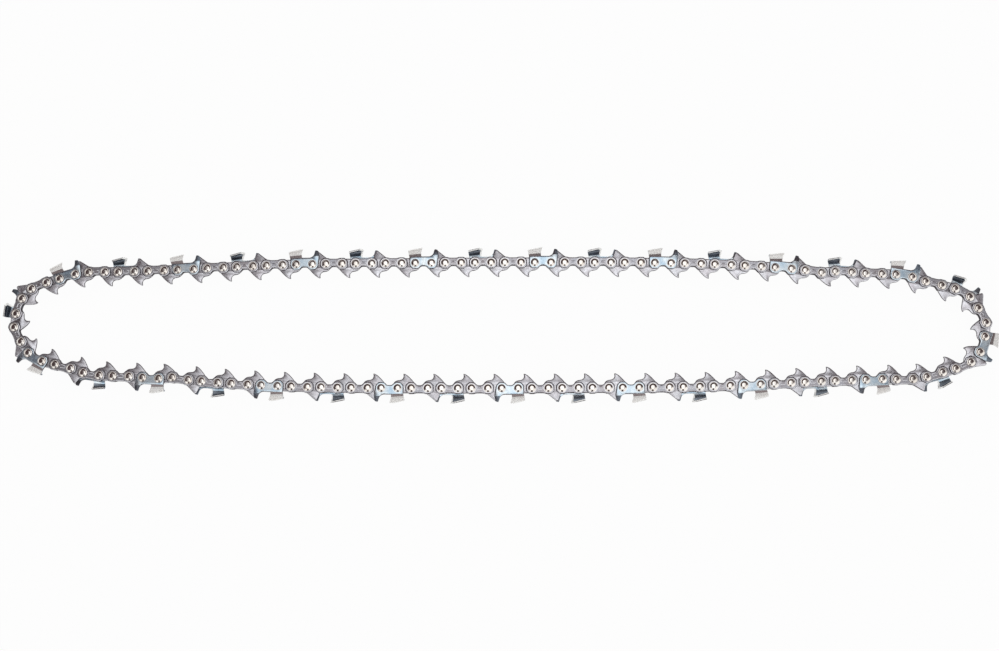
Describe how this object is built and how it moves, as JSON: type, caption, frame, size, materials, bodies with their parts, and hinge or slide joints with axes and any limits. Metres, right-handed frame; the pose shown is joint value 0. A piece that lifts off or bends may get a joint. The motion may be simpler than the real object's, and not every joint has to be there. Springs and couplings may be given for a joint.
{
  "type": "saw chain",
  "caption": "Closed loop of riveted drive links, tie straps and alternating left and right cutters that runs round a guide bar and cuts wood.",
  "frame": {"origin": "middle of the loop, on the ground plane under the lowest cutter corners", "axes": "+X along the loop's length, the way the upper run travels; +Z across the chain, from the left-hand cutters to the right-hand ones"},
  "size_m": [0.6184, 0.0972, 0.0064],
  "materials": {
    "link_steel": "blued and oiled, satin",
    "cutter_steel": "blue-tempered steel",
    "cutter_chrome": "hard chrome on the top plates",
    "rivet_steel": "bright, spun heads"
  },
  "bodies": {
    "links_028_034": {"links_028_034": "link_steel"},
    "drive_link_035": {"drive_link_035": "link_steel"},
    "links_036_042": {"links_036_042": "link_steel"},
    "drive_link_043": {"drive_link_043": "link_steel"},
    "links_044_050": {"links_044_050": "link_steel"},
    "drive_link_051": {"drive_link_051": "link_steel"},
    "links_052_058": {"links_052_058": "link_steel"},
    "drive_link_059": {"drive_link_059": "link_steel"},
    "links_060_064": {"links_060_064": "link_steel"},
    "drive_link_065": {"drive_link_065": "link_steel"},
    "outer_link_066": {"left_cutter_066_far": "cutter_steel", "tie_strap_066_near": "link_steel", "rivet_066_rear": "rivet_steel", "rivet_066_front": "rivet_steel"},
    "drive_link_067": {"drive_link_067": "link_steel"},
    "outer_link_068": {"tie_strap_068_far": "link_steel", "tie_strap_068_near": "link_steel", "rivet_068_rear": "rivet_steel", "rivet_068_front": "rivet_steel"},
    "drive_link_069": {"drive_link_069": "link_steel"},
    "outer_link_070": {"tie_strap_070_far": "link_steel", "right_cutter_070_near": "cutter_steel", "rivet_070_rear": "rivet_steel", "rivet_070_front": "rivet_steel"},
    "drive_link_071": {"drive_link_071": "link_steel"},
    "outer_link_072": {"tie_strap_072_far": "link_steel", "tie_strap_072_near": "link_steel", "rivet_072_rear": "rivet_steel", "rivet_072_front": "rivet_steel"},
    "drive_link_073": {"drive_link_073": "link_steel"},
    "links_074_078": {"links_074_078": "link_steel"},
    "drive_link_079": {"drive_link_079": "link_steel"},
    "links_080_086": {"links_080_086": "link_steel"},
    "drive_link_087": {"drive_link_087": "link_steel"},
    "links_088_094": {"links_088_094": "link_steel"},
    "drive_link_095": {"drive_link_095": "link_steel"},
    "links_096_102": {"links_096_102": "link_steel"},
    "drive_link_103": {"drive_link_103": "link_steel"},
    "links_104_110": {"links_104_110": "link_steel"},
    "drive_link_111": {"drive_link_111": "link_steel"},
    "links_112_118": {"links_112_118": "link_steel"},
    "drive_link_119": {"drive_link_119": "link_steel"},
    "links_120_126": {"links_120_126": "link_steel"},
    "drive_link_127": {"drive_link_127": "link_steel"},
    "links_128_132": {"links_128_132": "link_steel"},
    "drive_link_133": {"drive_link_133": "link_steel"},
    "outer_link_134": {"outer_link_134": "link_steel"},
    "drive_link_135": {"drive_link_135": "link_steel"},
    "outer_link_136": {"outer_link_136": "link_steel"},
    "drive_link_001": {"drive_link_001": "link_steel"},
    "outer_link_002": {"outer_link_002": "link_steel"},
    "drive_link_003": {"drive_link_003": "link_steel"},
    "outer_link_004": {"outer_link_004": "link_steel"},
    "drive_link_005": {"drive_link_005": "link_steel"},
    "links_006_010": {"links_006_010": "link_steel"},
    "drive_link_011": {"drive_link_011": "link_steel"},
    "links_012_018": {"links_012_018": "link_steel"},
    "drive_link_019": {"drive_link_019": "link_steel"},
    "links_020_026": {"links_020_026": "link_steel"},
    "drive_link_027": {"drive_link_027": "link_steel"}
  },
  "joints": [
    {"name": "hinge_035", "type": "hinge", "parent": "links_028_034", "child": "drive_link_035", "pos_m": [-0.00336, 0.0392, 0.0032], "axis": [0, 0, -1], "range_deg": [-20.06, 44.94]},
    {"name": "hinge_036", "type": "hinge", "parent": "drive_link_035", "child": "links_036_042", "pos_m": [0.00514, 0.03922, 0.0032], "axis": [0, 0, -1], "range_deg": [-1, 10]},
    {"name": "hinge_043", "type": "hinge", "parent": "links_036_042", "child": "drive_link_043", "pos_m": [0.0712, 0.03911, 0.0032], "axis": [0, 0, -1], "range_deg": [-1, 10]},
    {"name": "hinge_044", "type": "hinge", "parent": "drive_link_043", "child": "links_044_050", "pos_m": [0.0797, 0.03905, 0.0032], "axis": [0, 0, -1], "range_deg": [-1, 11]},
    {"name": "hinge_051", "type": "hinge", "parent": "links_044_050", "child": "drive_link_051", "pos_m": [0.14574, 0.03742, 0.0032], "axis": [0, 0, -1], "range_deg": [-20.35, 44.65]},
    {"name": "hinge_052", "type": "hinge", "parent": "drive_link_051", "child": "links_052_058", "pos_m": [0.15423, 0.037, 0.0032], "axis": [0, 0, -1], "range_deg": [-1, 12]},
    {"name": "hinge_059", "type": "hinge", "parent": "links_052_058", "child": "drive_link_059", "pos_m": [0.22, 0.03273, 0.0032], "axis": [0, 0, -1], "range_deg": [-1, 10]},
    {"name": "hinge_060", "type": "hinge", "parent": "drive_link_059", "child": "links_060_064", "pos_m": [0.22847, 0.03204, 0.0032], "axis": [0, 0, -1], "range_deg": [-17.01, 47.99]},
    {"name": "hinge_065", "type": "hinge", "parent": "links_060_064", "child": "drive_link_065", "pos_m": [0.27501, 0.02463, 0.0032], "axis": [0, 0, -1], "range_deg": [-3, 3]},
    {"name": "hinge_066", "type": "hinge", "parent": "drive_link_065", "child": "outer_link_066", "pos_m": [0.28323, 0.02246, 0.0032], "axis": [0, 0, -1], "range_deg": [-35.46, 29.54]},
    {"name": "hinge_067", "type": "hinge", "parent": "outer_link_066", "child": "drive_link_067", "pos_m": [0.29199, 0.01736, 0.0032], "axis": [0, 0, -1], "range_deg": [-44.87, 20.13]},
    {"name": "hinge_068", "type": "hinge", "parent": "drive_link_067", "child": "outer_link_068", "pos_m": [0.29686, 0.01039, 0.0032], "axis": [0, 0, -1], "range_deg": [-28.62, 36.38]},
    {"name": "hinge_069", "type": "hinge", "parent": "outer_link_068", "child": "drive_link_069", "pos_m": [0.30135, 0.0013, 0.0032], "axis": [0, 0, -1], "range_deg": [-52.08, 12.92]},
    {"name": "hinge_070", "type": "hinge", "parent": "drive_link_069", "child": "outer_link_070", "pos_m": [0.3005, -0.00716, 0.0032], "axis": [0, 0, -1], "range_deg": [-33.34, 31.66]},
    {"name": "hinge_071", "type": "hinge", "parent": "outer_link_070", "child": "drive_link_071", "pos_m": [0.29718, -0.01674, 0.0032], "axis": [0, 0, -1], "range_deg": [-44.14, 20.86]},
    {"name": "hinge_072", "type": "hinge", "parent": "drive_link_071", "child": "outer_link_072", "pos_m": [0.29135, -0.02293, 0.0032], "axis": [0, 0, -1], "range_deg": [-43.65, 21.35]},
    {"name": "hinge_073", "type": "hinge", "parent": "outer_link_072", "child": "drive_link_073", "pos_m": [0.28202, -0.0269, 0.0032], "axis": [0, 0, -1], "range_deg": [-27.68, 37.32]},
    {"name": "hinge_074", "type": "hinge", "parent": "drive_link_073", "child": "links_074_078", "pos_m": [0.27383, -0.02916, 0.0032], "axis": [0, 0, -1], "range_deg": [-18.79, 46.21]},
    {"name": "hinge_079", "type": "hinge", "parent": "links_074_078", "child": "drive_link_079", "pos_m": [0.22694, -0.03379, 0.0032], "axis": [0, 0, -1], "range_deg": [-19.62, 45.38]},
    {"name": "hinge_080", "type": "hinge", "parent": "drive_link_079", "child": "links_080_086", "pos_m": [0.21844, -0.03415, 0.0032], "axis": [0, 0, -1], "range_deg": [-20.39, 44.61]},
    {"name": "hinge_087", "type": "hinge", "parent": "links_080_086", "child": "drive_link_087", "pos_m": [0.15245, -0.03712, 0.0032], "axis": [0, 0, -1], "range_deg": [-20.07, 44.93]},
    {"name": "hinge_088", "type": "hinge", "parent": "drive_link_087", "child": "links_088_094", "pos_m": [0.14396, -0.0375, 0.0032], "axis": [0, 0, -1], "range_deg": [-20.38, 44.62]},
    {"name": "hinge_095", "type": "hinge", "parent": "links_088_094", "child": "drive_link_095", "pos_m": [0.07791, -0.03875, 0.0032], "axis": [0, 0, -1], "range_deg": [-20.05, 44.95]},
    {"name": "hinge_096", "type": "hinge", "parent": "drive_link_095", "child": "links_096_102", "pos_m": [0.06941, -0.03881, 0.0032], "axis": [0, 0, -1], "range_deg": [-20.01, 44.99]},
    {"name": "hinge_103", "type": "hinge", "parent": "links_096_102", "child": "drive_link_103", "pos_m": [0.00336, -0.0392, 0.0032], "axis": [0, 0, -1], "range_deg": [-20.06, 44.94]},
    {"name": "hinge_028", "type": "hinge", "parent": "links_028_034", "child": "drive_link_027", "pos_m": [-0.06941, 0.03881, 0.0032], "axis": [0, 0, 1], "range_deg": [-1, 14]},
    {"name": "hinge_027", "type": "hinge", "parent": "drive_link_027", "child": "links_020_026", "pos_m": [-0.07791, 0.03875, 0.0032], "axis": [0, 0, 1], "range_deg": [-1, 10]},
    {"name": "hinge_020", "type": "hinge", "parent": "links_020_026", "child": "drive_link_019", "pos_m": [-0.14396, 0.0375, 0.0032], "axis": [0, 0, 1], "range_deg": [-20.38, 44.62]},
    {"name": "hinge_019", "type": "hinge", "parent": "drive_link_019", "child": "links_012_018", "pos_m": [-0.15245, 0.03712, 0.0032], "axis": [0, 0, 1], "range_deg": [-20.07, 44.93]},
    {"name": "hinge_012", "type": "hinge", "parent": "links_012_018", "child": "drive_link_011", "pos_m": [-0.21844, 0.03415, 0.0032], "axis": [0, 0, 1], "range_deg": [-10, 10]},
    {"name": "hinge_011", "type": "hinge", "parent": "drive_link_011", "child": "links_006_010", "pos_m": [-0.22694, 0.03379, 0.0032], "axis": [0, 0, 1], "range_deg": [-19.62, 45.38]},
    {"name": "hinge_006", "type": "hinge", "parent": "links_006_010", "child": "drive_link_005", "pos_m": [-0.27383, 0.02916, 0.0032], "axis": [0, 0, 1], "range_deg": [-18.79, 46.21]},
    {"name": "hinge_005", "type": "hinge", "parent": "drive_link_005", "child": "outer_link_004", "pos_m": [-0.28202, 0.0269, 0.0032], "axis": [0, 0, 1], "range_deg": [-6, 1]},
    {"name": "hinge_004", "type": "hinge", "parent": "outer_link_004", "child": "drive_link_003", "pos_m": [-0.29135, 0.02293, 0.0032], "axis": [0, 0, 1], "range_deg": [-43.65, 21.35]},
    {"name": "hinge_003", "type": "hinge", "parent": "drive_link_003", "child": "outer_link_002", "pos_m": [-0.29718, 0.01674, 0.0032], "axis": [0, 0, 1], "range_deg": [-44.14, 20.86]},
    {"name": "hinge_002", "type": "hinge", "parent": "outer_link_002", "child": "drive_link_001", "pos_m": [-0.3005, 0.00716, 0.0032], "axis": [0, 0, 1], "range_deg": [-33.34, 31.66]},
    {"name": "hinge_001", "type": "hinge", "parent": "drive_link_001", "child": "outer_link_136", "pos_m": [-0.30135, -0.0013, 0.0032], "axis": [0, 0, 1], "range_deg": [-52.08, 12.92]},
    {"name": "hinge_136", "type": "hinge", "parent": "outer_link_136", "child": "drive_link_135", "pos_m": [-0.29686, -0.01039, 0.0032], "axis": [0, 0, 1], "range_deg": [-28.62, 36.38]},
    {"name": "hinge_135", "type": "hinge", "parent": "drive_link_135", "child": "outer_link_134", "pos_m": [-0.29199, -0.01736, 0.0032], "axis": [0, 0, 1], "range_deg": [-44.87, 20.13]},
    {"name": "hinge_134", "type": "hinge", "parent": "outer_link_134", "child": "drive_link_133", "pos_m": [-0.28323, -0.02246, 0.0032], "axis": [0, 0, 1], "range_deg": [-35.46, 29.54]},
    {"name": "hinge_133", "type": "hinge", "parent": "drive_link_133", "child": "links_128_132", "pos_m": [-0.27501, -0.02463, 0.0032], "axis": [0, 0, 1], "range_deg": [-21.13, 43.87]},
    {"name": "hinge_128", "type": "hinge", "parent": "links_128_132", "child": "drive_link_127", "pos_m": [-0.22847, -0.03204, 0.0032], "axis": [0, 0, 1], "range_deg": [-17.01, 47.99]},
    {"name": "hinge_127", "type": "hinge", "parent": "drive_link_127", "child": "links_120_126", "pos_m": [-0.22, -0.03273, 0.0032], "axis": [0, 0, 1], "range_deg": [-21.36, 43.65]},
    {"name": "hinge_120", "type": "hinge", "parent": "links_120_126", "child": "drive_link_119", "pos_m": [-0.15423, -0.037, 0.0032], "axis": [0, 0, 1], "range_deg": [-20.42, 44.58]},
    {"name": "hinge_119", "type": "hinge", "parent": "drive_link_119", "child": "links_112_118", "pos_m": [-0.14574, -0.03742, 0.0032], "axis": [0, 0, 1], "range_deg": [-20.35, 44.65]},
    {"name": "hinge_112", "type": "hinge", "parent": "links_112_118", "child": "drive_link_111", "pos_m": [-0.0797, -0.03905, 0.0032], "axis": [0, 0, 1], "range_deg": [-20.15, 44.85]},
    {"name": "hinge_111", "type": "hinge", "parent": "drive_link_111", "child": "links_104_110", "pos_m": [-0.0712, -0.03911, 0.0032], "axis": [0, 0, 1], "range_deg": [-20.11, 44.89]}
  ],
  "couplings": [
    {"joint": "hinge_035", "follows": "hinge_028", "ratio": 1},
    {"joint": "hinge_051", "follows": "hinge_044", "ratio": 1},
    {"joint": "hinge_060", "follows": "hinge_012", "ratio": -1},
    {"joint": "hinge_066", "follows": "hinge_052", "ratio": -1},
    {"joint": "hinge_067", "follows": "hinge_044", "ratio": -2},
    {"joint": "hinge_068", "follows": "hinge_059", "ratio": -1},
    {"joint": "hinge_069", "follows": "hinge_028", "ratio": -2},
    {"joint": "hinge_070", "follows": "hinge_043", "ratio": -1},
    {"joint": "hinge_071", "follows": "hinge_027", "ratio": -2},
    {"joint": "hinge_072", "follows": "hinge_036", "ratio": -2},
    {"joint": "hinge_073", "follows": "hinge_005", "ratio": 1},
    {"joint": "hinge_074", "follows": "hinge_065", "ratio": -1},
    {"joint": "hinge_079", "follows": "hinge_005", "ratio": -1},
    {"joint": "hinge_080", "follows": "hinge_012", "ratio": 1},
    {"joint": "hinge_087", "follows": "hinge_027", "ratio": 1},
    {"joint": "hinge_088", "follows": "hinge_036", "ratio": 1},
    {"joint": "hinge_095", "follows": "hinge_027", "ratio": 1},
    {"joint": "hinge_096", "follows": "hinge_028", "ratio": 1},
    {"joint": "hinge_103", "follows": "hinge_028", "ratio": 1},
    {"joint": "hinge_020", "follows": "hinge_036", "ratio": 1},
    {"joint": "hinge_019", "follows": "hinge_027", "ratio": 1},
    {"joint": "hinge_011", "follows": "hinge_005", "ratio": -1},
    {"joint": "hinge_006", "follows": "hinge_065", "ratio": -1},
    {"joint": "hinge_004", "follows": "hinge_036", "ratio": -2},
    {"joint": "hinge_003", "follows": "hinge_027", "ratio": -2},
    {"joint": "hinge_002", "follows": "hinge_043", "ratio": -1},
    {"joint": "hinge_001", "follows": "hinge_028", "ratio": -2},
    {"joint": "hinge_136", "follows": "hinge_059", "ratio": -1},
    {"joint": "hinge_135", "follows": "hinge_044", "ratio": -2},
    {"joint": "hinge_134", "follows": "hinge_052", "ratio": -1},
    {"joint": "hinge_133", "follows": "hinge_065", "ratio": 1},
    {"joint": "hinge_128", "follows": "hinge_012", "ratio": -1},
    {"joint": "hinge_127", "follows": "hinge_059", "ratio": 1},
    {"joint": "hinge_120", "follows": "hinge_052", "ratio": 1},
    {"joint": "hinge_119", "follows": "hinge_044", "ratio": 1},
    {"joint": "hinge_112", "follows": "hinge_044", "ratio": 1},
    {"joint": "hinge_111", "follows": "hinge_043", "ratio": 1}
  ]
}
